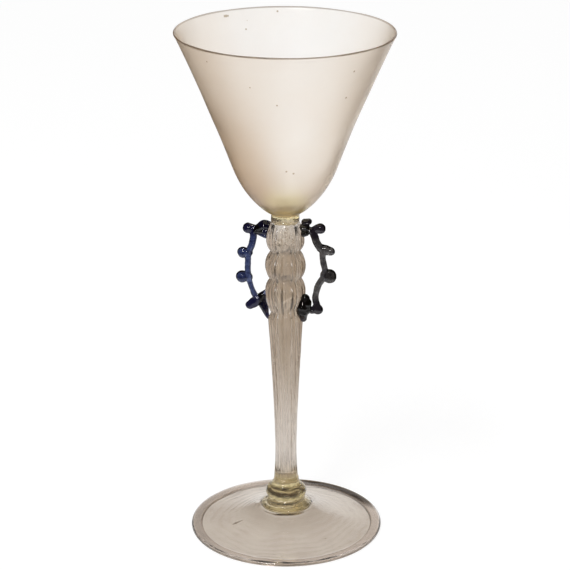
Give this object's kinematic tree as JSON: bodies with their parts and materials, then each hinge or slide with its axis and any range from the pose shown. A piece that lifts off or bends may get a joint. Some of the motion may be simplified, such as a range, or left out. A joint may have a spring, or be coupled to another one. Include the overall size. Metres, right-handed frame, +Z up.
{
  "type": "winged goblet",
  "caption": "Stemmed drinking glass with a flaring conical bowl, a ribbed hollow stem with bulbs, blue pinched wings and a folded foot.",
  "frame": {"origin": "on the glass's axis at the surface that the foot stands on", "axes": "+Z up along the axis of the glass; the wings lie in the XZ plane, the left wing towards -X and the right wing towards +X"},
  "size_m": [0.1028, 0.1028, 0.25],
  "materials": {
    "smoky_glass": "clear glass with a smoky beige tint, lightly weathered",
    "green_glass": "clear glass with a yellow-green tint",
    "foot_glass": "clear glass with a grey-beige tint, faint tool rings",
    "blue_glass": "deep cobalt blue glass, nearly black where thick, fire-polished"
  },
  "bodies": {
    "root": {"bowl": "smoky_glass", "bowl_collar": "green_glass", "stem": "smoky_glass", "stem_ring": "green_glass", "foot_collar": "green_glass", "foot": "foot_glass", "wing_left_trail": "blue_glass", "wing_left_upper_pad": "blue_glass", "wing_left_lower_pad": "blue_glass", "wing_right_trail": "blue_glass", "wing_right_upper_pad": "blue_glass", "wing_right_lower_pad": "blue_glass"}
  },
  "joints": []
}
